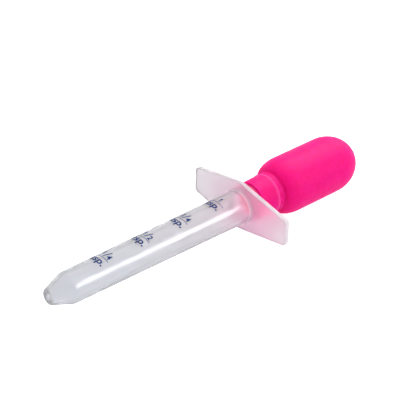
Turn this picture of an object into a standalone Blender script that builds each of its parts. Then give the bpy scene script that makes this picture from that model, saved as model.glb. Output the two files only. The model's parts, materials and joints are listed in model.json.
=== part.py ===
"""Medicine dropper: a clear moulded barrel with a finger flange, and a soft squeeze bulb on its spigot.

The dropper lies along X with its tip at -X and the bulb's dome at +X, and the origin is on its axis
halfway along. Z is up, and the flange's long side is along Y. Lengths are in metres. Distances along the
dropper, which end in _X, are counted from the tip.
"""

import math

import bmesh
import bpy

MM = 0.001

# Barrel, measured along X from the tip.
TIP_RADIUS = 3.0 * MM
TIP_ROUNDING = 0.55 * MM
ORIFICE_RADIUS = 1.2 * MM
ORIFICE_LAND = 0.5 * MM
SHOULDER_X = 8.0 * MM
SHOULDER_RADIUS = 5.7 * MM
SHOULDER_ROUNDING = 0.5 * MM
SHOULDER_WALL = 1.12 * MM
FLANGE_X = 84.7 * MM
BARREL_RADIUS_AT_FLANGE = 6.25 * MM
WALL_AT_FLANGE = 1.26 * MM
ROOT_FILLET = 0.8 * MM

# Flange: a flat hexagon, wide along Y, with short upright ends.
FLANGE_THICKNESS = 1.85 * MM
FLANGE_HALF_WIDTH = 23.4 * MM
FLANGE_HALF_HEIGHT = 9.4 * MM
FLANGE_END_HALF_HEIGHT = 4.95 * MM
FLANGE_CORNER_RADIUS = 1.5 * MM
FLANGE_EDGE_BEVEL = 0.3 * MM

# Spigot behind the flange, which the bulb's collar grips.
SPIGOT_RADIUS = 6.05 * MM
SPIGOT_LENGTH = 12.6 * MM
SPIGOT_BEAD_X = 96.8 * MM
SPIGOT_BEAD_HEIGHT = 0.12 * MM
SPIGOT_BEAD_HALF_LENGTH = 0.9 * MM
SPIGOT_CHAMFER = 0.4 * MM

# Bulb. Its collar stands clear of the flange.
COLLAR_GAP = 3.5 * MM
COLLAR_CLEARANCE = 0.1 * MM
COLLAR_END_RADIUS = 7.0 * MM
COLLAR_END_ROUNDING = 0.3 * MM
RIDGE_X = 97.5 * MM
RIDGE_HEIGHT = 0.2 * MM
RIDGE_HALF_LENGTH = 0.7 * MM
NECK_X = 99.7 * MM
NECK_RADIUS = 7.28 * MM
NECK_FILLET = 0.7 * MM
BULB_RADIUS = 10.5 * MM
BULB_STRAIGHT_X = 107.6 * MM
DOME_X = 127.8 * MM
OVERALL_LENGTH = 140.0 * MM
BULB_WALL = 1.25 * MM

# Squeeze walls: the two places that a finger and thumb press in.
SQUEEZE_X = 118.5 * MM
SQUEEZE_HALF_HEIGHT = 5.0 * MM
SQUEEZE_LENGTH = 16.0 * MM
SQUEEZE_GAP = 0.3 * MM

AROUND = 48
ARC_STEPS = 5
DOME_STEPS = 8
CUT_MARGIN = 2.0 * MM

FLANGE_BACK_X = FLANGE_X + FLANGE_THICKNESS
COLLAR_X = FLANGE_BACK_X + COLLAR_GAP
COLLAR_BORE_RADIUS = SPIGOT_RADIUS + SPIGOT_BEAD_HEIGHT + COLLAR_CLEARANCE
SPIGOT_END_X = FLANGE_BACK_X + SPIGOT_LENGTH


def clear_scene():
    for obj in list(bpy.data.objects):
        bpy.data.objects.remove(obj, do_unlink=True)


def make_collection(name, hidden=False):
    collection = bpy.data.collections.new(name)
    bpy.context.scene.collection.children.link(collection)
    collection.hide_render = hidden
    return collection


def place(name, mesh, collection):
    """Adds an object whose mesh counts X from the tip, so that the dropper's middle is at the origin."""
    obj = bpy.data.objects.new(name, mesh)
    obj.location.x = -OVERALL_LENGTH / 2.0
    collection.objects.link(obj)
    return obj


def plastic(name, colour, roughness, alpha=1.0):
    material = bpy.data.materials.new(name)
    material.use_nodes = True
    shader = material.node_tree.nodes["Principled BSDF"]
    shader.inputs["Base Color"].default_value = (*colour, 1.0)
    shader.inputs["Roughness"].default_value = roughness
    shader.inputs["Metallic"].default_value = 0.0
    shader.inputs["Alpha"].default_value = alpha
    return material


def arc(centre, radii, start, end, steps):
    """(radius, x) points along an elliptical arc; at 90 degrees the point is straight out from the centre."""
    points = []
    for step in range(steps + 1):
        angle = math.radians(start + (end - start) * step / steps)
        points.append((centre[0] + radii[0] * math.sin(angle), centre[1] + radii[1] * math.cos(angle)))
    return points


def turned(name, profile, collection):
    """Turns a profile of (radius, x) points about the X axis. It runs down the outer side, from high x to low."""
    mesh = bpy.data.meshes.new(name)
    edges = [(i, i + 1) for i in range(len(profile) - 1)]
    mesh.from_pydata([(radius, 0.0, x) for radius, x in profile], edges, [])
    obj = place(name, mesh, collection)
    obj.rotation_euler = (0.0, math.radians(90.0), 0.0)
    screw = obj.modifiers.new("turn", "SCREW")
    screw.axis = "Z"
    screw.steps = AROUND
    screw.render_steps = AROUND
    screw.use_merge_vertices = True
    screw.merge_threshold = 0.00001
    screw.use_smooth_shade = True
    return obj


def prism_along_y(name, centre_x, half_length, half_height, low_y, high_y, collection):
    """A slot-shaped prism: straight above and below, round at both ends, extruded along Y."""
    outline = []
    for side, turn in ((1.0, -90.0), (-1.0, 90.0)):
        for step in range(2 * ARC_STEPS + 1):
            angle = math.radians(turn + 90.0 * step / ARC_STEPS)
            x = centre_x + side * (half_length - half_height) + half_height * math.cos(angle)
            outline.append((x, half_height * math.sin(angle)))
    mesh = bpy.data.meshes.new(name)
    shape = bmesh.new()
    face = shape.faces.new([shape.verts.new((x, low_y, z)) for x, z in outline])
    grown = bmesh.ops.extrude_face_region(shape, geom=[face])
    moved = [item for item in grown["geom"] if isinstance(item, bmesh.types.BMVert)]
    bmesh.ops.translate(shape, verts=moved, vec=(0.0, high_y - low_y, 0.0))
    bmesh.ops.recalc_face_normals(shape, faces=shape.faces)
    shape.to_mesh(mesh)
    shape.free()
    return place(name, mesh, collection)


def boolean(obj, other, operation):
    modifier = obj.modifiers.new(f"{operation.lower()}_{other.name}", "BOOLEAN")
    modifier.operation = operation
    modifier.solver = "EXACT"
    modifier.object = other


def as_cutter(obj):
    obj.hide_render = True
    obj.display_type = "WIRE"
    return obj


def barrel_radius(x):
    """Outer radius of the drafted tube between the tip's shoulder and the flange."""
    along = (x - SHOULDER_X) / (FLANGE_X - SHOULDER_X)
    return SHOULDER_RADIUS + along * (BARREL_RADIUS_AT_FLANGE - SHOULDER_RADIUS)


def bead(centre_x, half_length, height, radius_at):
    """(radius, x) points over a low rounded bead, from its high-x side down, on a surface of a given radius."""
    points = []
    for step in range(2 * ARC_STEPS + 1):
        along = 1.0 - step / ARC_STEPS
        x = centre_x + along * half_length
        points.append((radius_at(x) + height * math.cos(along * math.pi / 2.0) ** 2, x))
    return points


def spigot_profile():
    """The spigot's outside, from its chamfered end down to the flange, with one low bead."""
    return [
        (0.0, SPIGOT_END_X),
        (SPIGOT_RADIUS - SPIGOT_CHAMFER, SPIGOT_END_X),
        (SPIGOT_RADIUS, SPIGOT_END_X - SPIGOT_CHAMFER),
        *bead(SPIGOT_BEAD_X, SPIGOT_BEAD_HALF_LENGTH, SPIGOT_BEAD_HEIGHT, lambda x: SPIGOT_RADIUS),
    ]


def root_fillet(face_x, radius, side):
    """A hollow fillet from the tube to the flange's face. Side is +1 behind the flange, and -1 in front."""
    centre = (radius + ROOT_FILLET, face_x + side * ROOT_FILLET)
    start, end = (270.0, 200.0) if side > 0 else (340.0, 270.0)
    return arc(centre, (ROOT_FILLET, ROOT_FILLET), start, end, ARC_STEPS)


def tip_profile():
    """From the tube's shoulder down the cone to the tip's rounded rim, and in to the axis."""
    slope = math.atan2(SHOULDER_RADIUS - TIP_RADIUS, SHOULDER_X)
    shoulder = [
        (barrel_radius(SHOULDER_X + SHOULDER_ROUNDING), SHOULDER_X + SHOULDER_ROUNDING),
        (SHOULDER_RADIUS - 0.2 * SHOULDER_ROUNDING * math.sin(slope), SHOULDER_X),
        (
            SHOULDER_RADIUS - SHOULDER_ROUNDING * math.sin(slope),
            SHOULDER_X - SHOULDER_ROUNDING * math.cos(slope),
        ),
    ]
    rim_centre = (TIP_RADIUS - TIP_ROUNDING, TIP_ROUNDING)
    rim = arc(rim_centre, (TIP_ROUNDING, TIP_ROUNDING), 90.0, 180.0, ARC_STEPS)
    return [*shoulder, *rim, (0.0, 0.0)]


def flange_outline():
    """The hexagon's corners in the YZ plane, in order."""
    wide, end, high = FLANGE_HALF_WIDTH, FLANGE_END_HALF_HEIGHT, FLANGE_HALF_HEIGHT
    return [(wide, -end), (wide, end), (0.0, high), (-wide, end), (-wide, -end), (0.0, -high)]


def make_flange(collection):
    """A hexagonal plate with rounded corners and softened edges."""
    shape = bmesh.new()
    corners = [shape.verts.new((FLANGE_X, y, z)) for y, z in flange_outline()]
    shape.faces.new(corners)
    bmesh.ops.bevel(
        shape,
        geom=corners,
        offset=FLANGE_CORNER_RADIUS,
        offset_type="OFFSET",
        segments=ARC_STEPS,
        profile=0.5,
        affect="VERTICES",
    )
    grown = bmesh.ops.extrude_face_region(shape, geom=list(shape.faces))
    moved = [item for item in grown["geom"] if isinstance(item, bmesh.types.BMVert)]
    bmesh.ops.translate(shape, verts=moved, vec=(FLANGE_THICKNESS, 0.0, 0.0))
    bmesh.ops.recalc_face_normals(shape, faces=shape.faces)
    rims = [edge for edge in shape.edges if abs(edge.verts[0].co.x - edge.verts[1].co.x) < MM * 0.01]
    bmesh.ops.bevel(
        shape,
        geom=rims,
        offset=FLANGE_EDGE_BEVEL,
        offset_type="OFFSET",
        segments=2,
        profile=0.5,
        affect="EDGES",
    )
    mesh = bpy.data.meshes.new("flange_plate")
    shape.to_mesh(mesh)
    shape.free()
    return as_cutter(place("flange_plate", mesh, collection))


def make_bore(collection):
    """The barrel's hollow, from the orifice up the cone and the tube, and out of the spigot's mouth."""
    cone_top = (SHOULDER_RADIUS - SHOULDER_WALL, SHOULDER_X)
    mouth_radius = BARREL_RADIUS_AT_FLANGE - WALL_AT_FLANGE
    profile = [
        (0.0, SPIGOT_END_X + CUT_MARGIN),
        (mouth_radius, SPIGOT_END_X + CUT_MARGIN),
        (mouth_radius, FLANGE_X),
        cone_top,
        (ORIFICE_RADIUS, ORIFICE_LAND),
        (ORIFICE_RADIUS, -CUT_MARGIN),
        (0.0, -CUT_MARGIN),
    ]
    return as_cutter(turned("barrel_bore", profile, collection))


def make_barrel(parts, cutters):
    profile = [
        *spigot_profile(),
        *root_fillet(FLANGE_BACK_X, SPIGOT_RADIUS, 1.0),
        *root_fillet(FLANGE_X, BARREL_RADIUS_AT_FLANGE, -1.0),
        *tip_profile(),
    ]
    barrel = turned("barrel", profile, parts)
    boolean(barrel, make_flange(cutters), "UNION")
    boolean(barrel, make_bore(cutters), "DIFFERENCE")
    barrel.data.materials.append(plastic("clear_polypropylene", (0.80, 0.80, 0.83), 0.25, 0.45))
    return barrel


def collar_radius(x):
    """The collar's outside, which flares slightly from its end to the neck."""
    along = (x - COLLAR_X) / (NECK_X - COLLAR_X)
    return COLLAR_END_RADIUS + along * (NECK_RADIUS - COLLAR_END_RADIUS)


def bulb_outside():
    """The bulb's outer side, from the dome's pole down to the collar's end."""
    dome = arc((0.0, DOME_X), (BULB_RADIUS, OVERALL_LENGTH - DOME_X), 0.0, 90.0, DOME_STEPS)
    rise = BULB_RADIUS - NECK_RADIUS
    shoulder_length = BULB_STRAIGHT_X - NECK_X - NECK_FILLET
    shoulder = arc((NECK_RADIUS, BULB_STRAIGHT_X), (rise, shoulder_length), 90.0, 175.0, DOME_STEPS)
    ridge = bead(RIDGE_X, RIDGE_HALF_LENGTH, RIDGE_HEIGHT, collar_radius)
    rounding = (COLLAR_END_ROUNDING, COLLAR_END_ROUNDING)
    corner = (COLLAR_END_RADIUS - COLLAR_END_ROUNDING, COLLAR_X + COLLAR_END_ROUNDING)
    lip = arc(corner, rounding, 90.0, 180.0, 2)
    return [*dome, *shoulder, (NECK_RADIUS, NECK_X), *ridge, *lip]


def bulb_inside():
    """The bulb's inner side, from the collar's mouth up to the pole inside the dome."""
    radius = BULB_RADIUS - BULB_WALL
    shoulder_length = BULB_STRAIGHT_X - NECK_X - NECK_FILLET - BULB_WALL
    rise = radius - COLLAR_BORE_RADIUS
    shoulder = arc((COLLAR_BORE_RADIUS, BULB_STRAIGHT_X), (rise, shoulder_length), 175.0, 90.0, DOME_STEPS)
    dome = arc((0.0, DOME_X), (radius, OVERALL_LENGTH - DOME_X - BULB_WALL), 90.0, 0.0, DOME_STEPS)
    return [(COLLAR_BORE_RADIUS, COLLAR_X), *shoulder, *dome]


def squeeze_prism(name, side, clearance, collection):
    """A prism along Y that holds one squeeze wall. Side is -1 for the near wall and +1 for the far one."""
    outer_y = side * (BULB_RADIUS + CUT_MARGIN)
    low_y, high_y = sorted((0.0, outer_y))
    half_length = SQUEEZE_LENGTH / 2.0 - clearance
    half_height = SQUEEZE_HALF_HEIGHT - clearance
    prism = prism_along_y(name, SQUEEZE_X, half_length, half_height, low_y, high_y, collection)
    return as_cutter(prism)


def make_bulb(parts, cutters):
    material = plastic("pink_soft_vinyl", (0.86, 0.03, 0.24), 0.5)
    profile = [*bulb_outside(), *bulb_inside()]
    bulb = turned("bulb", profile, parts)
    bulb.data.materials.append(material)
    for side, label in ((-1.0, "near"), (1.0, "far")):
        boolean(bulb, squeeze_prism(f"window_{label}", side, 0.0, cutters), "DIFFERENCE")
        wall = turned(f"squeeze_wall_{label}", profile, parts)
        boolean(wall, squeeze_prism(f"keep_{label}", side, SQUEEZE_GAP, cutters), "INTERSECT")
        wall.data.materials.append(material)


def main():
    clear_scene()
    parts = make_collection("medicine_dropper")
    cutters = make_collection("cutters", hidden=True)
    make_barrel(parts, cutters)
    make_bulb(parts, cutters)


main()
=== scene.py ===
"""Looks of the medicine dropper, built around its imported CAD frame.

Every length is in metres, in the frame of the CAD parts: +X runs from the tip to the bulb, Z is up, and the
flange's long side is along Y. Places along X are worked out from the tip's end or from the CAD.
"""

import json
import math

import bmesh
import bpy
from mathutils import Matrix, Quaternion, Vector


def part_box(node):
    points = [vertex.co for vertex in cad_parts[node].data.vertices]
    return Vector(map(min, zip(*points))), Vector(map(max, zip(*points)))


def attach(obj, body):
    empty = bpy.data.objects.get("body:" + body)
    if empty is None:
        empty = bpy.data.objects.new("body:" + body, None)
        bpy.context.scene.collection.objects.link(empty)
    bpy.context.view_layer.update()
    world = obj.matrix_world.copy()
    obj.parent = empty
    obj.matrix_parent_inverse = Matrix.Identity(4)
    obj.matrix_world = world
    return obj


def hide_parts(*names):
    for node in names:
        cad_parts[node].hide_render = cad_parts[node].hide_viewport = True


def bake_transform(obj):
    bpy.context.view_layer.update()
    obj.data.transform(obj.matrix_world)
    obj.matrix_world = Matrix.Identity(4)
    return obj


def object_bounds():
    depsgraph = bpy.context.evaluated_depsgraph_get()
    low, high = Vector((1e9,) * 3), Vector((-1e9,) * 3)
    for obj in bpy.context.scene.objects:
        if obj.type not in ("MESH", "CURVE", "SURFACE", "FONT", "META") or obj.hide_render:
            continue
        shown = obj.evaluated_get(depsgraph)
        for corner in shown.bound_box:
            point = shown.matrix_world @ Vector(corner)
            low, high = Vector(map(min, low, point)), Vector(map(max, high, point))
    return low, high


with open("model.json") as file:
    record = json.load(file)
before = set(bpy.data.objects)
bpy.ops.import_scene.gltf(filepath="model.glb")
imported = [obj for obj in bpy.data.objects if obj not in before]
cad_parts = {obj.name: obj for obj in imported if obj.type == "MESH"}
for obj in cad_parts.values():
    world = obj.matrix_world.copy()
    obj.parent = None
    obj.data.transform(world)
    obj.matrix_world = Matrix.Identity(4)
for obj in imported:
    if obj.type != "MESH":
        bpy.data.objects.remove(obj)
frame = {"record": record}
cad_low, cad_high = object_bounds()

MM = 0.001
MOUNTS = {mount["name"]: Vector(mount["pos_m"]) for mount in frame["record"]["mounts"]}
BARREL_LOW, BARREL_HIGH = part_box("barrel")
BULB_LOW, BULB_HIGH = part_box("bulb")

# Places along X that the CAD fixes.
TIP_X = BARREL_LOW.x
FLANGE_FRONT_X = MOUNTS["flange_front_face"].x
FLANGE_BACK_X = MOUNTS["flange_back_face"].x
SPIGOT_END_X = BARREL_HIGH.x
COLLAR_X = BULB_LOW.x
DOME_END_X = BULB_HIGH.x

# Barrel.
TIP_RADIUS = 3.0 * MM
TIP_ROUNDING = 0.55 * MM
ORIFICE_RADIUS = 1.2 * MM
ORIFICE_LAND = 0.5 * MM
ORIFICE_ROUNDING = 0.15 * MM
SHOULDER_X = TIP_X + 8.0 * MM
SHOULDER_RADIUS = 5.7 * MM
SHOULDER_REACH = 0.8 * MM
TUBE_RADIUS_AT_FLANGE = 6.25 * MM
WALL_AT_SHOULDER = 1.12 * MM
WALL_AT_FLANGE = 1.26 * MM
MOUTH_RADIUS = TUBE_RADIUS_AT_FLANGE - WALL_AT_FLANGE
MOUTH_CHAMFER = 0.15 * MM
ROOT_FILLET = 0.8 * MM
SPIGOT_RADIUS = 6.05 * MM
SPIGOT_ROUNDING = 0.4 * MM
BEAD_X = TIP_X + 96.8 * MM
BEAD_HEIGHT = 0.12 * MM
BEAD_HALF_LENGTH = 0.9 * MM

# Flange: a flat hexagon with short upright ends.
FLANGE_HALF_WIDTH = BARREL_HIGH.y
FLANGE_HALF_HEIGHT = 9.4 * MM
FLANGE_END_HALF_HEIGHT = 4.95 * MM
FLANGE_CORNER_RADIUS = 1.5 * MM
FLANGE_EDGE_RADIUS = 0.3 * MM

# Bulb, and the fine ridge round its collar.
BULB_RADIUS = BULB_HIGH.z
BULB_WALL = 1.25 * MM
COLLAR_BORE_RADIUS = 6.27 * MM
COLLAR_MOUTH_CHAMFER = 0.2 * MM
COLLAR_END_RADIUS = 7.0 * MM
COLLAR_ROUNDING = 0.4 * MM
NECK_X = TIP_X + 99.7 * MM
NECK_RADIUS = 7.28 * MM
NECK_FILLET = 0.7 * MM
RIDGE_X = NECK_X - 2.2 * MM
RIDGE_HEIGHT = 0.2 * MM
RIDGE_HALF_LENGTH = 0.7 * MM
SHOULDER_END_ANGLE = 172.0
INNER_SHOULDER_END_ANGLE = 175.0
BULB_STRAIGHT_X = TIP_X + 107.6 * MM
DOME_X = TIP_X + 127.8 * MM

# Printed scale. A volume is in cubic metres, and a weight is how far a stroke is widened on each side.
TEASPOON = 4.929e-6
MARK_HALF_ANGLE = math.radians(30.0)
PRINT_OFFSET = -0.3 * MM
DIGIT_HEIGHT = 2.2 * MM
DIGIT_WEIGHT = 0.07 * MM
UNIT_HEIGHT = 2.9 * MM
UNIT_WEIGHT = 0.085 * MM
UNIT_WIDENING = 1.12
FONT_DIGIT_HEIGHT = 0.73
FONT_RESOLUTION = 4
INK_STRIP = 0.3 * MM
INK_LIFT = 0.012 * MM
INK_THICKNESS = 0.03 * MM

# The flat print, in millimetres from the middle of its line: +X is towards -Y, and +Y towards the bulb.
MARK_WIDTH = 0.21
SLASH = ((-0.55, 0.6), (0.55, 3.8))
SLASH_WIDTH = 0.42
NUMERATOR_FOOT = (-1.75, 1.2)
DENOMINATOR_FOOT = (1.5, 0.6)
SINGLE_ONE_FOOT = (0.0, 0.7)
UNIT_FOOT = (0.1, -3.25)

# Mesh fineness. HOLD is how far beside a rounding an extra ring keeps the flat face's shading flat.
ARC_STEPS = 8
BEAD_STEPS = 32
BULB_AROUND = 160
DOME_STEPS = 28
SHOULDER_STEPS = 24
INNER_SHOULDER_STEPS = 16
NECK_STEPS = 6
COLLAR_STEPS = 80
TUBE_STEP = 4.0 * MM
CONE_STEP = 1.0 * MM
BORE_STEP = 1.0 * MM
BULB_STEP = 0.6 * MM
HOLD = 0.1 * MM
TINY = 0.001 * MM
OUTLINE_ANGLE = math.radians(2.5)
SHARP_ANGLE = math.radians(30.0)
BISECTIONS = 50

# Most of a noise lies between these.
NOISE_SPAN = (0.3, 0.7)

# Clear plastic. Transmission is the share that passes straight through, and the rest scatters. RIM_FACING is
# a range of how squarely a surface faces along X, and COAT_FACING of how much it is seen edge on.
TIP_TINT = (0.93, 0.945, 1.0)
# Painted light: the tints towards the bulb, on the spigot and at the flange's middle are pinker than the
# plastic, for pink light from the bulb, and this fades out across the flange.
ROOT_TINT_AND_PINK_LIGHT = (0.98, 0.92, 0.965)
SPIGOT_PINK_LIGHT = (0.97, 0.52, 0.73)
FLANGE_INNER_TINT_AND_PINK_LIGHT = (0.94, 0.75, 0.855)
FLANGE_OUTER_TINT = (0.94, 0.90, 0.93)
FLANGE_PINK_LIGHT_RADII = (7.0 * MM, 22.0 * MM)
BEHIND_SPAN = (FLANGE_FRONT_X - 1.0 * MM, FLANGE_BACK_X)
EDGE_SHADES_END = (FLANGE_FRONT_X - 7.0 * MM, FLANGE_FRONT_X - 2.0 * MM)
# Painted shade, darkening the tube towards its outline, with a thin painted dark line a little inside it.
EDGE_SHADES = ((0.0, 1.0), (0.34, 1.0), (0.42, 0.9), (0.5, 1.0), (0.57, 1.0), (0.72, 0.84), (1.0, 0.8))
TUBE_TRANSMISSION = 0.73
SPIGOT_TRANSMISSION = 0.88
FLANGE_TRANSMISSION = 0.8
RIM_FACING = (0.3, 0.9)
RIM_TRANSMISSION = 0.38
ROOT_TRANSMISSION = 0.4
FLANGE_HAZE = 0.24
SPIGOT_HAZE = 0.08
TUBE_ROUGHNESS = (0.10, 0.14)
FLOW_SIZE = 5.0 * MM
FLOW_STRETCH = 6.0
COAT_FACING = (0.45, 0.65)
COAT_WEIGHTS = (1.0, 0.2)
CLEAR_SCATTER = 4.0 * MM
# A faint painted pink glow on the clear plastic beside the flange's back, on the bulb's lit side, for light
# thrown back off the bulb.
PINK_BOUNCE_COLOUR = (1.0, 0.14, 0.5)
PINK_BOUNCE_GLOW = 0.06
PINK_BOUNCE_AT = (FLANGE_BACK_X, -9.0 * MM, -1.0 * MM)
PINK_BOUNCE_REACH = (3.0 * MM, 18.0 * MM)

# Vinyl.
VINYL_DARK = (0.85, 0.0008, 0.172)
VINYL_LIGHT = (0.91, 0.0034, 0.214)
VINYL_ROUGHNESS = (0.54, 0.44)
MOTTLE_SIZE = 1.6 * MM
MOTTLE_DETAIL = 3.0
DIMPLE_SIZE = 1.3 * MM
DIMPLE_DEPTH = 0.07 * MM
GRAIN_SIZE = 0.35 * MM
GRAIN_DEPTH = 0.03 * MM
# A painted highlight: the vinyl is a lighter pink along the collar's ridge.
RIDGE_HIGHLIGHT_PINK = (1.0, 0.09, 0.36)
RIDGE_HIGHLIGHT = 0.55
RIDGE_HIGHLIGHT_REACH = (0.1 * MM, 0.9 * MM)
GLOW_PINK = (1.0, 0.10, 0.42)
GLOW = 0.75
VINYL_SCATTER = 5.0 * MM

# Ink.
INK_DARK = (0.002, 0.020, 0.10)
INK_LIGHT = (0.005, 0.036, 0.16)
INK_SPAN = (0.3, 0.75)
INK_ROUGHNESS = (0.6, 0.8)
INK_PATCH_SIZE = 0.5 * MM

# Stage. A strength is in the units of the picture, where 1 is white.
CAMERA_AIM = Vector((0.4 * MM, 5.0 * MM, 6.0 * MM))
CAMERA_DISTANCE = 0.580
CAMERA_VIEW = (-42.6, 33.15)
CAMERA_ROLL = math.radians(1.715)
CAMERA_LENS = 149.65
CAMERA_SENSOR = 36.0
WORLD_BRIGHT = 0.88
WORLD_DIM = 0.55
WORLD_REFLECTED = 0.9
WORLD_SEEN = 1.0
FLOOR_COLOUR = (0.5, 0.5, 0.5)
FLOOR_GLOW_COLOUR = (0.93, 0.95, 1.0)
FLOOR_GLOW = 0.47
FLOOR_GLOW_SEEN = 0.95
FLOOR_HALF_WIDTH = 6.0
FLOOR_GAP = 0.05 * MM
OVERHEAD_LIGHT = dict(height=105.0, distance=1.0, low_x=-0.3, high_x=0.7, spread=45.0, radiance=1.6)
SHEEN_LIGHT = dict(height=100.0, distance=1.0, low_x=0.45, high_x=2.2, spread=60.0, radiance=4.5)
STRIPE_LIGHT = dict(height=28.0, distance=0.5, low_x=0.06, high_x=0.51, spread=32.0, radiance=3.4)


# ---------------------------------------------------------------- profiles and meshes


def arc(centre, radii, start, end, steps=ARC_STEPS):
    """(x, radius) points on an elliptical arc. 0 degrees is at +X of the centre, and 90 is outwards."""
    points = []
    for step in range(steps + 1):
        angle = math.radians(start + (end - start) * step / steps)
        points.append((centre[0] + radii[0] * math.cos(angle), centre[1] + radii[1] * math.sin(angle)))
    return points


def stretch(start, end, step):
    """Points strictly between two (x, radius) points, about a step apart."""
    count = max(1, round(math.dist(start, end) / step))
    return [
        (start[0] + (end[0] - start[0]) * i / count, start[1] + (end[1] - start[1]) * i / count)
        for i in range(1, count)
    ]


def bend(before, corner, after, reach, steps=4):
    """A rounded corner: a curve between the lines before and after it, from and to a reach away."""
    ends = []
    for other in (before, after):
        length = math.dist(corner, other)
        ends.append([corner[i] + (other[i] - corner[i]) * reach / length for i in (0, 1)])
    points = []
    for step in range(steps + 1):
        t = step / steps
        shares = ((1 - t) ** 2, 2 * t * (1 - t), t * t)
        weighed = list(zip(shares, (ends[0], corner, ends[1])))
        points.append(tuple(sum(share * anchor[i] for share, anchor in weighed) for i in (0, 1)))
    return points


def rise(x, centre_x, half_length, height):
    """The height at x of a low rounded bead."""
    off_centre = min(1.0, abs(x - centre_x) / half_length)
    return height * math.cos(off_centre * math.pi / 2.0) ** 2


def new_object(name, data):
    obj = bpy.data.objects.new(name, data)
    bpy.context.scene.collection.objects.link(obj)
    return obj


def loft(name, rings, closed):
    """Skins rings into one smooth mesh. A ring of one point is a pole. Closed joins the ends."""
    points, starts = [], []
    for ring in rings:
        starts.append(len(points))
        points.extend(ring)
    pairs = list(zip(range(len(rings) - 1), range(1, len(rings))))
    if closed:
        pairs.append((len(rings) - 1, 0))
    faces = []
    for a, b in pairs:
        count = max(len(rings[a]), len(rings[b]))
        for i in range(count):
            j = (i + 1) % count
            corners = []
            for start, ring, order in ((starts[a], rings[a], (i, j)), (starts[b], rings[b], (j, i))):
                if len(ring) == 1:
                    corners.append(start)
                else:
                    corners.extend(start + k for k in order)
            faces.append(corners)
    mesh = bpy.data.meshes.new(name)
    mesh.from_pydata(points, [], faces)
    shape = bmesh.new()
    shape.from_mesh(mesh)
    bmesh.ops.recalc_face_normals(shape, faces=shape.faces)
    shape.to_mesh(mesh)
    shape.free()
    mesh.shade_smooth()
    mesh.set_sharp_from_angle(angle=SHARP_ANGLE)
    return new_object(name, mesh)


# ---------------------------------------------------------------- barrel


def outline_corner(before, corner, after):
    """The two side normals at a corner of the flange's outline, and the centre of its rounding."""
    into, out = (corner - before).normalized(), (after - corner).normalized()
    normal_in, normal_out = Vector((into.y, -into.x)), Vector((out.y, -out.x))
    turn = normal_in.angle(normal_out)
    centre = corner - (normal_in + normal_out) * (FLANGE_CORNER_RADIUS / (1.0 + math.cos(turn)))
    return normal_in, normal_out, centre


def flange_outline():
    """(point, outward normal) pairs in the YZ plane, round the outline from its lower +Y corner."""
    wide, end, high = FLANGE_HALF_WIDTH, FLANGE_END_HALF_HEIGHT, FLANGE_HALF_HEIGHT
    right, left = [(wide, -end), (wide, end)], [(-wide, end), (-wide, -end)]
    corners = [Vector(point) for point in (*right, (0, high), *left, (0, -high))]
    count = len(corners)
    rounds = [outline_corner(corners[i - 1], corners[i], corners[(i + 1) % count]) for i in range(count)]
    outline = []
    for i, (normal_in, normal_out, centre) in enumerate(rounds):
        for step in range(ARC_STEPS + 1):
            normal = normal_in.slerp(normal_out, step / ARC_STEPS)
            outline.append((centre + normal * FLANGE_CORNER_RADIUS, normal))
        next_centre = rounds[(i + 1) % count][2]
        start, end = outline[-1][0], next_centre + normal_out * FLANGE_CORNER_RADIUS
        first, last = math.atan2(start.y, start.x), math.atan2(end.y, end.x)
        sweep = (last - first) % (2.0 * math.pi)
        pieces = max(2, round(sweep / OUTLINE_ANGLE))
        for piece in range(1, pieces):
            angle = first + sweep * piece / pieces
            ray = Vector((math.cos(angle), math.sin(angle)))
            outline.append((ray * (start.dot(normal_out) / ray.dot(normal_out)), normal_out))
    return outline


OUTLINE = flange_outline()
OUTLINE_ANGLES = [math.atan2(point.y, point.x) for point, _ in OUTLINE]


def circle_ring(x, radius, angles):
    return [(x, radius * math.cos(angle), radius * math.sin(angle)) for angle in angles]


def outline_ring(x, inset):
    return [(x, *(point - normal * inset)) for point, normal in OUTLINE]


def tube_radius(x):
    """The drafted tube's outer radius between the tip's shoulder and the flange."""
    along = (x - SHOULDER_X) / (FLANGE_FRONT_X - SHOULDER_X)
    return SHOULDER_RADIUS + along * (TUBE_RADIUS_AT_FLANGE - SHOULDER_RADIUS)


def bore_profile():
    """(x, radius) points of the hollow, from the orifice to the spigot's mouth."""
    land = (TIP_X + ORIFICE_LAND, ORIFICE_RADIUS)
    cone_end = (SHOULDER_X, SHOULDER_RADIUS - WALL_AT_SHOULDER)
    tube_end = (FLANGE_FRONT_X, MOUTH_RADIUS)
    return [
        (TIP_X + ORIFICE_ROUNDING, ORIFICE_RADIUS),
        land,
        *stretch(land, cone_end, CONE_STEP),
        *bend(land, cone_end, tube_end, SHOULDER_REACH / 2.0),
        *stretch(cone_end, tube_end, TUBE_STEP),
        tube_end,
        (SPIGOT_END_X - 2.0 * MOUTH_CHAMFER, MOUTH_RADIUS),
    ]


def spigot_profile():
    """(x, radius) points from the spigot's mouth down its outside to the flange's back face."""
    end_centre = (SPIGOT_END_X - SPIGOT_ROUNDING, SPIGOT_RADIUS - SPIGOT_ROUNDING)
    bead = [BEAD_X + BEAD_HALF_LENGTH * (1.0 - 2.0 * step / BEAD_STEPS) for step in range(BEAD_STEPS + 1)]
    fillet_centre = (FLANGE_BACK_X + ROOT_FILLET, SPIGOT_RADIUS + ROOT_FILLET)
    return [
        (SPIGOT_END_X, MOUTH_RADIUS + MOUTH_CHAMFER),
        (SPIGOT_END_X, end_centre[1]),
        *arc(end_centre, (SPIGOT_ROUNDING, SPIGOT_ROUNDING), 10.0, 90.0),
        *((x, SPIGOT_RADIUS + rise(x, BEAD_X, BEAD_HALF_LENGTH, BEAD_HEIGHT)) for x in bead),
        (fillet_centre[0] + 2.0 * HOLD, SPIGOT_RADIUS),
        *arc(fillet_centre, (ROOT_FILLET, ROOT_FILLET), 270.0, 180.0),
        (FLANGE_BACK_X, fillet_centre[1] + HOLD),
    ]


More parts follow.
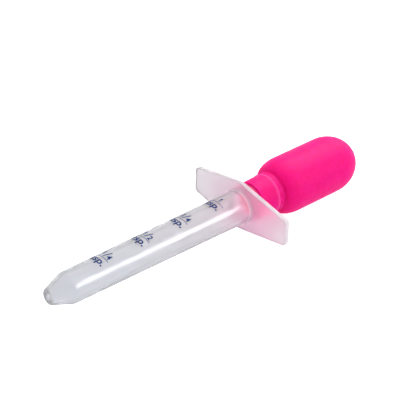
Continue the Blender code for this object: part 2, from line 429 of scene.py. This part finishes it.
def flange_rings():
    """Rings over the flange, from its back face round its softened edge to its front face."""
    edge = FLANGE_EDGE_RADIUS
    back = arc((FLANGE_BACK_X - edge, edge), (edge, -edge), 0.0, 90.0)
    front = arc((FLANGE_FRONT_X + edge, edge), (-edge, -edge), 90.0, 0.0)
    places = [
        (FLANGE_BACK_X, edge + HOLD),
        *back,
        (FLANGE_BACK_X - edge - HOLD / 2.0, 0.0),
        (FLANGE_FRONT_X + edge + HOLD / 2.0, 0.0),
        *front,
        (FLANGE_FRONT_X, edge + HOLD),
    ]
    return [outline_ring(x, inset) for x, inset in places]


def tube_profile():
    """(x, radius) points from the flange's front face down the tube and the cone to the orifice."""
    fillet_centre = (FLANGE_FRONT_X - ROOT_FILLET, TUBE_RADIUS_AT_FLANGE + ROOT_FILLET)
    tube_x = fillet_centre[0] - 2.0 * HOLD
    tube_start, shoulder = (tube_x, tube_radius(tube_x)), (SHOULDER_X, SHOULDER_RADIUS)
    slope = math.degrees(math.atan2(SHOULDER_RADIUS - TIP_RADIUS, SHOULDER_X - TIP_X))
    rim_centre = (TIP_X + TIP_ROUNDING, TIP_RADIUS - TIP_ROUNDING)
    rim = arc(rim_centre, (TIP_ROUNDING, TIP_ROUNDING), 90.0 + slope, 180.0)
    return [
        (FLANGE_FRONT_X, fillet_centre[1] + HOLD),
        *arc(fillet_centre, (ROOT_FILLET, ROOT_FILLET), 360.0, 270.0),
        tube_start,
        *stretch(tube_start, shoulder, TUBE_STEP),
        *bend(tube_start, shoulder, rim[0], SHOULDER_REACH),
        *stretch(shoulder, rim[0], CONE_STEP),
        *rim,
        (TIP_X, ORIFICE_RADIUS + 2.0 * ORIFICE_ROUNDING),
        (TIP_X + ORIFICE_ROUNDING * 0.4, ORIFICE_RADIUS + ORIFICE_ROUNDING / 1.5),
    ]


def barrel_rings():
    def turned(profile):
        return [circle_ring(x, radius, OUTLINE_ANGLES) for x, radius in profile]

    return [*turned(bore_profile()), *turned(spigot_profile()), *flange_rings(), *turned(tube_profile())]


# ---------------------------------------------------------------- bulb


def collar_radius(x):
    """The collar's outside: a slightly flaring cone with a fine ridge round it, just before the neck."""
    along = (x - COLLAR_X) / (NECK_X - COLLAR_X)
    cone = COLLAR_END_RADIUS + (NECK_RADIUS - COLLAR_END_RADIUS) * along
    return cone + rise(x, RIDGE_X, RIDGE_HALF_LENGTH, RIDGE_HEIGHT)


def bulb_outside():
    """(x, radius) points from the dome's pole down to the collar's lip."""
    dome = arc((DOME_X, 0.0), (DOME_END_X - DOME_X, BULB_RADIUS), 0.0, 90.0, DOME_STEPS)
    side = stretch(dome[-1], (BULB_STRAIGHT_X, BULB_RADIUS), BULB_STEP)
    radii = (BULB_STRAIGHT_X - NECK_X - NECK_FILLET, BULB_RADIUS - NECK_RADIUS)
    shoulder = arc((BULB_STRAIGHT_X, NECK_RADIUS), radii, 90.0, SHOULDER_END_ANGLE, SHOULDER_STEPS)
    foot = shoulder[-1]
    neck = bend(foot, (foot[0], NECK_RADIUS), (NECK_X, NECK_RADIUS), NECK_FILLET, NECK_STEPS)
    length = NECK_X - COLLAR_X - COLLAR_ROUNDING
    places = [NECK_X - length * step / COLLAR_STEPS for step in range(COLLAR_STEPS + 1)]
    collar = [(x, collar_radius(x)) for x in places]
    lip_centre = (COLLAR_X + COLLAR_ROUNDING, COLLAR_END_RADIUS - COLLAR_ROUNDING)
    lip = arc(lip_centre, (COLLAR_ROUNDING, COLLAR_ROUNDING), 90.0, 180.0)
    return [*dome, *side, *shoulder, *neck[1:], *collar, *lip[1:]]


def bulb_inside():
    """(x, radius) points from the collar's mouth up to the pole inside the dome."""
    radius = BULB_RADIUS - BULB_WALL
    radii = (BULB_STRAIGHT_X - NECK_X - NECK_FILLET - BULB_WALL, radius - COLLAR_BORE_RADIUS)
    mouth = (COLLAR_X, COLLAR_BORE_RADIUS + COLLAR_MOUTH_CHAMFER)
    start = (COLLAR_X + COLLAR_MOUTH_CHAMFER, COLLAR_BORE_RADIUS)
    centre = (BULB_STRAIGHT_X, COLLAR_BORE_RADIUS)
    shoulder = arc(centre, radii, INNER_SHOULDER_END_ANGLE, 90.0, INNER_SHOULDER_STEPS)
    side = stretch(shoulder[-1], (DOME_X, radius), BULB_STEP)
    dome = arc((DOME_X, 0.0), (DOME_END_X - DOME_X - BULB_WALL, radius), 90.0, 0.0, DOME_STEPS)
    return [mouth, start, *stretch(start, shoulder[0], BORE_STEP), *shoulder, *side, *dome]


def bulb_rings():
    angles = [2.0 * math.pi * i / BULB_AROUND for i in range(BULB_AROUND)]
    rings = []
    for x, radius in [*bulb_outside(), *bulb_inside()]:
        at_pole = radius < TINY
        rings.append([(x, 0.0, 0.0)] if at_pole else circle_ring(x, radius, angles))
    return rings


# ---------------------------------------------------------------- material nodes


def new_material(name):
    material = bpy.data.materials.new(name)
    material.use_nodes = True
    tree = material.node_tree
    return material, tree, tree.nodes["Principled BSDF"].inputs


def add(tree, kind, **values):
    """A new node. A value named after one of its inputs goes there, and any other is a setting."""
    node = tree.nodes.new(kind)
    for key, value in values.items():
        if key in node.inputs:
            node.inputs[key].default_value = value
        else:
            setattr(node, key, value)
    return node


def feed(tree, target, value):
    """Links an output to an input, or gives the input a plain value."""
    if isinstance(value, bpy.types.NodeSocket):
        tree.links.new(value, target)
    elif target.type == "RGBA":
        target.default_value = (*value, 1.0)
    else:
        target.default_value = value


def calculate(tree, operation, first, second=0.0):
    node = add(tree, "ShaderNodeMath", operation=operation)
    feed(tree, node.inputs[0], first)
    feed(tree, node.inputs[1], second)
    return node.outputs["Value"]


def fade(tree, value, low, high, low_value, high_value):
    """Goes from low_value to high_value, in a straight line, as a value goes from low to high."""
    node = add(tree, "ShaderNodeMapRange")
    levels = (value, low, high, low_value, high_value)
    for name, level in zip(("Value", "From Min", "From Max", "To Min", "To Max"), levels):
        feed(tree, node.inputs[name], level)
    return node.outputs["Result"]


def ramp(tree, value, *stops):
    """A colour that goes through (position, colour) stops as a value rises."""
    node = add(tree, "ShaderNodeValToRGB")
    elements = node.color_ramp.elements
    while len(elements) < len(stops):
        elements.new(0.5)
    for element, (position, colour) in zip(elements, stops):
        element.position = position
        element.color = (*colour, 1.0)
    feed(tree, node.inputs["Fac"], value)
    return node.outputs["Color"]


def mix(tree, factor, low, high, blend="MIX", kind="RGBA"):
    """Goes from low to high by a factor. Each may be an output or a plain value."""
    node = add(tree, "ShaderNodeMix", data_type=kind, blend_type=blend)
    first, result = {"FLOAT": (2, 0), "RGBA": (6, 2)}[kind]
    for index, value in ((0, factor), (first, low), (first + 1, high)):
        feed(tree, node.inputs[index], value)
    return node.outputs[result]


def off(tree, value, centre):
    """How far a value is from a centre."""
    return calculate(tree, "ABSOLUTE", calculate(tree, "SUBTRACT", value, centre))


def object_place(tree):
    return add(tree, "ShaderNodeTexCoord").outputs["Object"]


def apart(tree, vector):
    """A vector's three components."""
    node = add(tree, "ShaderNodeSeparateXYZ")
    feed(tree, node.inputs["Vector"], vector)
    return node.outputs


def measure(tree, operation, vector, other=None):
    """A number from a vector, such as its length, or its distance or dot product with a fixed one."""
    node = add(tree, "ShaderNodeVectorMath", operation=operation)
    feed(tree, node.inputs[0], vector)
    if other is not None:
        node.inputs[1].default_value = other
    return node.outputs["Value"]


def noise(tree, size, detail=2.0, stretch_x=1.0):
    """Noise whose features are about this size, fixed to the object's own coordinates."""
    fineness = 1.0 / size
    mapping = add(tree, "ShaderNodeMapping", Scale=(fineness / stretch_x, fineness, fineness))
    texture = add(tree, "ShaderNodeTexNoise", Scale=1.0, Detail=detail)
    feed(tree, mapping.inputs["Vector"], object_place(tree))
    feed(tree, texture.inputs["Vector"], mapping.outputs["Vector"])
    return texture.outputs["Fac"]


def bump(tree, height, strength, depth, under=None):
    node = add(tree, "ShaderNodeBump", Strength=strength, Distance=depth)
    feed(tree, node.inputs["Height"], height)
    if under is not None:
        feed(tree, node.inputs["Normal"], under)
    return node.outputs["Normal"]


def feed_all(tree, inputs, looks):
    for name, value in looks.items():
        feed(tree, inputs[name], value)


# ---------------------------------------------------------------- materials


def vinyl_material():
    """Soft pink vinyl: matt, faintly mottled, with light bleeding a little way into it and a painted
    highlight along the collar's ridge.

    It glows only for rays that come through the clear plastic, which stands for the pink light that the
    flange and the spigot gather.
    """
    material, tree, inputs = new_material("pink_soft_vinyl")
    mottle = noise(tree, MOTTLE_SIZE, MOTTLE_DETAIL)
    colour = ramp(tree, mottle, *zip(NOISE_SPAN, (VINYL_DARK, VINYL_LIGHT)))
    # Painted highlight along the collar's ridge.
    off_ridge = off(tree, apart(tree, object_place(tree))["X"], RIDGE_X)
    ridge_highlight = fade(tree, off_ridge, *RIDGE_HIGHLIGHT_REACH, RIDGE_HIGHLIGHT, 0.0)
    dimples = bump(tree, noise(tree, DIMPLE_SIZE), 0.5, DIMPLE_DEPTH)
    through_clear = add(tree, "ShaderNodeLightPath").outputs["Is Transmission Ray"]
    looks = {
        "Base Color": mix(tree, ridge_highlight, colour, RIDGE_HIGHLIGHT_PINK),
        "Roughness": fade(tree, mottle, *NOISE_SPAN, *VINYL_ROUGHNESS),
        "Normal": bump(tree, noise(tree, GRAIN_SIZE), 0.4, GRAIN_DEPTH, dimples),
        "IOR": 1.5,
        "Specular IOR Level": 0.09,
        "Subsurface Weight": 0.6,
        "Subsurface Radius": (1.0, 0.1, 0.35),
        "Subsurface Scale": VINYL_SCATTER,
        "Emission Color": GLOW_PINK,
        "Emission Strength": fade(tree, through_clear, 0.0, 1.0, 0.0, GLOW),
    }
    feed_all(tree, inputs, looks)
    return material


def root_mask(tree, x, radius):
    """1 on the fillet between the tube and the flange's front face, and 0 elsewhere."""
    span = (ROOT_FILLET / 2.0, ROOT_FILLET)
    in_radius = fade(tree, off(tree, radius, TUBE_RADIUS_AT_FLANGE + ROOT_FILLET / 2.0), *span, 1.0, 0.0)
    in_x = fade(tree, off(tree, x, FLANGE_FRONT_X - ROOT_FILLET / 2.0), *span, 1.0, 0.0)
    return calculate(tree, "MULTIPLY", in_radius, in_x)


def clear_colour(tree, x, radius, flange, behind, edge_on):
    """Bluish at the tip, with painted pink light from the bulb near it, and painted shade where the tube is
    seen edge on.
    """
    along = fade(tree, x, TIP_X, FLANGE_FRONT_X, 0.0, 1.0)
    # Painted pink light from the bulb on the tube near the bulb and on the spigot.
    tube_tint = mix(tree, behind, ramp(tree, along, (0.3, TIP_TINT), (1.0, ROOT_TINT_AND_PINK_LIGHT)), SPIGOT_PINK_LIGHT)
    shades = ramp(tree, edge_on, *((position, (shade,) * 3) for position, shade in EDGE_SHADES))
    shaded = fade(tree, x, *EDGE_SHADES_END, 1.0, 0.0)
    tube_tint = mix(tree, shaded, tube_tint, shades, "MULTIPLY")
    outwards = fade(tree, radius, *FLANGE_PINK_LIGHT_RADII, 0.0, 1.0)
    flange_tint = ramp(tree, outwards, (0.0, FLANGE_INNER_TINT_AND_PINK_LIGHT), (1.0, FLANGE_OUTER_TINT))
    return mix(tree, flange, tube_tint, flange_tint)


def clear_transmission(tree, flange, behind, root):
    """Least at the flange's rim and at its root, which look white."""
    normal = add(tree, "ShaderNodeNewGeometry").outputs["Normal"]
    facing_x = calculate(tree, "ABSOLUTE", apart(tree, normal)["X"])
    flange_clear = fade(tree, facing_x, *RIM_FACING, RIM_TRANSMISSION, FLANGE_TRANSMISSION)
    tube_clear = fade(tree, behind, 0.0, 1.0, TUBE_TRANSMISSION, SPIGOT_TRANSMISSION)
    clear = mix(tree, flange, tube_clear, flange_clear, kind="FLOAT")
    return mix(tree, root, clear, ROOT_TRANSMISSION, kind="FLOAT")


def clear_roughness(tree, flange, behind):
    """Faint flow marks along the tube, and a haze on the flange and behind it."""
    flow = fade(tree, noise(tree, FLOW_SIZE, stretch_x=FLOW_STRETCH), *NOISE_SPAN, *TUBE_ROUGHNESS)
    flange_haze = fade(tree, flange, 0.0, 1.0, 0.0, FLANGE_HAZE)
    spigot_haze = fade(tree, behind, 0.0, 1.0, 0.0, SPIGOT_HAZE)
    return calculate(tree, "ADD", calculate(tree, "MAXIMUM", flange_haze, spigot_haze), flow)


def clear_material():
    """Natural polypropylene: a glossy, faintly milky tube and a hazier flange, with painted pink light from
    the bulb in their colour and a faint painted pink glow.
    """
    material, tree, inputs = new_material("clear_polypropylene")
    place = object_place(tree)
    x, y, z = apart(tree, place)
    across = add(tree, "ShaderNodeCombineXYZ")
    feed(tree, across.inputs["Y"], y)
    feed(tree, across.inputs["Z"], z)
    radius = measure(tree, "LENGTH", across.outputs["Vector"])
    edge_on = add(tree, "ShaderNodeLayerWeight", Blend=0.5).outputs["Facing"]

    # Masks, which are 1 on the flange's plate, behind its front face, and off the plate.
    flange = fade(tree, radius, TUBE_RADIUS_AT_FLANGE, TUBE_RADIUS_AT_FLANGE + ROOT_FILLET, 0.0, 1.0)
    behind = fade(tree, x, *BEHIND_SPAN, 0.0, 1.0)
    off_flange = fade(tree, flange, 0.0, 1.0, 1.0, 0.0)

    coat = fade(tree, edge_on, *COAT_FACING, *COAT_WEIGHTS)
    # A faint painted pink glow near the flange's back, for light thrown back off the bulb.
    painted_pink_glow = fade(tree, measure(tree, "DISTANCE", place, PINK_BOUNCE_AT), *PINK_BOUNCE_REACH, PINK_BOUNCE_GLOW, 0.0)
    looks = {
        "Base Color": clear_colour(tree, x, radius, flange, behind, edge_on),
        "Roughness": clear_roughness(tree, flange, behind),
        "IOR": 1.49,
        "Transmission Weight": clear_transmission(tree, flange, behind, root_mask(tree, x, radius)),
        "Subsurface Weight": 1.0,
        "Subsurface Radius": (1.0, 1.0, 1.0),
        "Subsurface Scale": CLEAR_SCATTER,
        "Coat Weight": calculate(tree, "MULTIPLY", off_flange, coat),
        "Coat Roughness": 0.05,
        "Emission Color": PINK_BOUNCE_COLOUR,
        "Emission Strength": painted_pink_glow,
    }
    feed_all(tree, inputs, looks)
    return material


def ink_material():
    """Matt blue pad-printing ink, slightly uneven in density."""
    material, tree, inputs = new_material("blue_scale_ink")
    patchy = noise(tree, INK_PATCH_SIZE)
    looks = {
        "Base Color": ramp(tree, patchy, *zip(INK_SPAN, (INK_DARK, INK_LIGHT))),
        "Roughness": fade(tree, patchy, *NOISE_SPAN, *INK_ROUGHNESS),
        "Specular IOR Level": 0.1,
    }
    feed_all(tree, inputs, looks)
    return material


# ---------------------------------------------------------------- printed scale


def volume_up_to(x):
    """Volume of the hollow between the orifice and x."""
    profile = bore_profile()
    total = 0.0
    for (x0, r0), (x1, r1) in zip(profile, profile[1:]):
        top = min(x1, x)
        if top <= x0:
            break
        r_top = r0 + (r1 - r0) * (top - x0) / (x1 - x0)
        total += math.pi / 3.0 * (top - x0) * (r0 * r0 + r0 * r_top + r_top * r_top)
    return total


def x_of_volume(volume):
    """Where the hollow has taken up a volume, found by halving."""
    low, high = TIP_X, SPIGOT_END_X
    for _ in range(BISECTIONS):
        middle = (low + high) / 2.0
        if volume_up_to(middle) < volume:
            low = middle
        else:
            high = middle
    return low


def wrap(mesh, mark_x):
    """Bends a flat print onto the tube, with its line at mark_x. Flat Z is the ink's height."""
    for vertex in mesh.vertices:
        across, along, height = vertex.co
        x = mark_x + along
        radius = tube_radius(x) + INK_LIFT + height
        angle = across / tube_radius(mark_x)
        vertex.co = (x, -radius * math.sin(angle), radius * math.cos(angle))


def into_ink(mesh):
    """Cuts a flat print into narrow strips, so that it can bend, and gives it the ink's thickness."""
    shape = bmesh.new()
    shape.from_mesh(mesh)
    bmesh.ops.remove_doubles(shape, verts=shape.verts, dist=TINY)
    high = max(vertex.co.x for vertex in shape.verts)
    cut = min(vertex.co.x for vertex in shape.verts) + INK_STRIP
    while cut < high:
        everything = [*shape.verts, *shape.edges, *shape.faces]
        bmesh.ops.bisect_plane(shape, geom=everything, plane_co=(cut, 0, 0), plane_no=(1, 0, 0), dist=1e-7)
        cut += INK_STRIP
    grown = bmesh.ops.extrude_face_region(shape, geom=list(shape.faces))
    lifted = [item for item in grown["geom"] if isinstance(item, bmesh.types.BMVert)]
    bmesh.ops.translate(shape, verts=lifted, vec=(0, 0, INK_THICKNESS))
    bmesh.ops.recalc_face_normals(shape, faces=shape.faces)
    shape.to_mesh(mesh)
    shape.free()
    return mesh


def text_mesh(text, height, foot, weight, widening=1.0):
    """A flat text of a given digit height, centred over its foot, with its strokes thickened."""
    curve = bpy.data.curves.new("print_" + text, "FONT")
    curve.body = text
    curve.align_x = "CENTER"
    curve.size = height / FONT_DIGIT_HEIGHT
    curve.offset = weight
    curve.resolution_u = FONT_RESOLUTION
    obj = new_object("flat_print", curve)
    bpy.context.view_layer.update()
    mesh = bpy.data.meshes.new_from_object(obj.evaluated_get(bpy.context.evaluated_depsgraph_get()))
    bpy.data.objects.remove(obj)
    for vertex in mesh.vertices:
        vertex.co.x = vertex.co.x * widening + foot[0] * MM
        vertex.co.y += foot[1] * MM
        vertex.co.z = 0.0
    return mesh


def outline_mesh(points):
    """A flat face inside an outline given in millimetres."""
    mesh = bpy.data.meshes.new("flat_outline")
    mesh.from_pydata([(x * MM, y * MM, 0.0) for x, y in points], [], [list(range(len(points)))])
    return mesh


def bar_mesh(start, end, width):
    """A flat straight stroke between two points, in millimetres."""
    start, end = Vector(start), Vector(end)
    along = (end - start).normalized()
    side = Vector((along.y, -along.x)) * (width / 2.0)
    return outline_mesh([start + side, end + side, end - side, start - side])


def one_mesh(foot):
    """The digit 1, with a short flag: a stem 0.42 mm wide and 2.2 mm high."""
    right, left, top, flag_x = 0.21, -0.21, 2.2, -0.62
    flag = [(-0.12, top), (flag_x, 1.78), (flag_x, 1.33), (left, 1.62)]
    points = [(right, 0.0), (right, top), *flag, (left, 0.0)]
    return outline_mesh([(foot[0] + x, foot[1] + y) for x, y in points])


def digit_mesh(digit, foot):
    return one_mesh(foot) if digit == "1" else text_mesh(digit, DIGIT_HEIGHT, foot, DIGIT_WEIGHT)


def fraction(over, under):
    """A fraction whose numerator is towards the far side and whose denominator is towards the near side."""
    slash = bar_mesh(*SLASH, SLASH_WIDTH)
    return [digit_mesh(over, NUMERATOR_FOOT), slash, digit_mesh(under, DENOMINATOR_FOOT)]


def join_meshes(name, meshes):
    shape = bmesh.new()
    for mesh in meshes:
        shape.from_mesh(mesh)
        bpy.data.meshes.remove(mesh)
    joined = bpy.data.meshes.new(name)
    shape.to_mesh(joined)
    shape.free()
    return joined


def make_mark(name, number, quarters, ink):
    """One scale mark: a line part way round the tube, with its number and its unit on either side."""
    mark_x = x_of_volume(TEASPOON * quarters / 4.0) + PRINT_OFFSET
    half_line = MARK_HALF_ANGLE * tube_radius(mark_x) / MM
    line = bar_mesh((-half_line, 0.0), (half_line, 0.0), MARK_WIDTH)
    unit = text_mesh("tsp.", UNIT_HEIGHT, UNIT_FOOT, UNIT_WEIGHT, UNIT_WIDENING)
    mesh = join_meshes(name, [into_ink(piece) for piece in (line, unit, *number)])
    wrap(mesh, mark_x)
    mesh.materials.append(ink)
    obj = new_object(name, mesh)
    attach(obj, "barrel")


# ---------------------------------------------------------------- pieces


def make_barrel():
    barrel = loft("clear_barrel", barrel_rings(), closed=True)
    barrel.data.materials.append(clear_material())
    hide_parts("barrel")
    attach(barrel, "barrel")


def make_bulb():
    """One skin for the whole bulb, in place of the CAD bulb and its squeeze walls, which it hides."""
    bulb = loft("squeeze_bulb", bulb_rings(), closed=False)
    bulb.data.materials.append(vinyl_material())
    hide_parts("bulb", "squeeze_wall_near", "squeeze_wall_far")
    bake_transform(bulb)
    return bulb


def make_scale():
    ink = ink_material()
    make_mark("scale_quarter", fraction("1", "4"), 1, ink)
    make_mark("scale_half", fraction("1", "2"), 2, ink)
    make_mark("scale_three_quarters", fraction("3", "4"), 3, ink)
    make_mark("scale_one", [one_mesh(SINGLE_ONE_FOOT)], 4, ink)


# ---------------------------------------------------------------- stage


def direction(azimuth, elevation):
    """Unit vector towards a viewer. At azimuth 0 the viewer looks along +Y."""
    a, e = math.radians(azimuth), math.radians(elevation)
    return Vector((math.sin(a) * math.cos(e), -math.cos(a) * math.cos(e), math.sin(e)))


CAMERA_BACK = direction(*CAMERA_VIEW)


def make_floor():
    """A pale floor, brighter to the camera than to other rays, so that it shows as plain white."""
    half = FLOOR_HALF_WIDTH
    corners = [(-half, -half, 0), (half, -half, 0), (half, half, 0), (-half, half, 0)]
    mesh = bpy.data.meshes.new("floor")
    mesh.from_pydata(corners, [], [(0, 1, 2, 3)])
    floor = new_object("floor", mesh)
    floor.location.z = cad_low.z - FLOOR_GAP
    material, tree, inputs = new_material("pale_floor")
    seen = add(tree, "ShaderNodeLightPath").outputs["Is Camera Ray"]
    looks = {
        "Base Color": FLOOR_COLOUR,
        "Roughness": 1.0,
        "Specular IOR Level": 0.0,
        "Emission Color": FLOOR_GLOW_COLOUR,
        "Emission Strength": fade(tree, seen, 0.0, 1.0, FLOOR_GLOW, FLOOR_GLOW_SEEN),
    }
    feed_all(tree, inputs, looks)
    mesh.materials.append(material)


def make_world():
    """A soft white room, dimmer on the camera's side, which the camera itself sees as white."""
    world = bpy.data.worlds.new("soft_white")
    bpy.context.scene.world = world
    world.use_nodes = True
    tree = world.node_tree
    place = add(tree, "ShaderNodeTexCoord").outputs["Generated"]
    side = measure(tree, "DOT_PRODUCT", place, CAMERA_BACK)
    strength = fade(tree, side, 0.0, 1.0, WORLD_BRIGHT, WORLD_DIM)
    ray = add(tree, "ShaderNodeLightPath").outputs
    in_gloss = fade(tree, ray["Is Glossy Ray"], 0.0, 1.0, 1.0, WORLD_REFLECTED)
    strength = calculate(tree, "MULTIPLY", strength, in_gloss)
    background = tree.nodes["Background"].inputs
    feed(tree, background["Strength"], mix(tree, ray["Is Camera Ray"], strength, WORLD_SEEN, kind="FLOAT"))
    feed(tree, background["Color"], (1.0, 1.0, 1.0))


def strip_light(name, height, distance, low_x, high_x, spread, radiance):
    """A long softbox parallel to the dropper. At a height of 0 it is on the -Y horizon, at 90 overhead."""
    angle = math.radians(height)
    data = bpy.data.lights.new(name, "AREA")
    data.shape = "RECTANGLE"
    data.size = high_x - low_x
    data.size_y = 2.0 * distance * math.tan(math.radians(spread) / 2.0)
    data.energy = radiance * math.pi * data.size * data.size_y
    light = new_object(name, data)
    light.location = Vector((0.0, -math.cos(angle), math.sin(angle))) * distance
    light.location.x = (low_x + high_x) / 2.0
    light.rotation_euler = (math.pi / 2.0 - angle, 0.0, 0.0)
    return light


def make_lights(bulb):
    """A soft light overhead, one for the bulb's matt highlight only, and one for the tube's stripe."""
    overhead = strip_light("overhead", **OVERHEAD_LIGHT)
    overhead.visible_glossy = False
    overhead.visible_transmission = False
    sheen = strip_light("bulb_sheen", **SHEEN_LIGHT)
    sheen.visible_diffuse = False
    sheen.visible_transmission = False
    receivers = bpy.data.collections.new("sheen_receivers")
    receivers.objects.link(bulb)
    sheen.light_linking.receiver_collection = receivers
    strip_light("stripe", **STRIPE_LIGHT)


def make_camera():
    data = bpy.data.cameras.new("camera")
    data.sensor_width = CAMERA_SENSOR
    data.lens = CAMERA_LENS
    data.clip_start = 0.01
    data.clip_end = 20.0
    camera = new_object("camera", data)
    camera.location = CAMERA_AIM + CAMERA_BACK * CAMERA_DISTANCE
    camera.rotation_mode = "QUATERNION"
    towards_dropper = (-CAMERA_BACK).to_track_quat("-Z", "Y")
    camera.rotation_quaternion = towards_dropper @ Quaternion((0, 0, 1), CAMERA_ROLL)
    bpy.context.scene.camera = camera


make_barrel()
squeeze_bulb = make_bulb()
make_scale()
make_floor()
make_world()
make_lights(squeeze_bulb)
make_camera()
bpy.context.scene.view_settings.view_transform = "Standard"
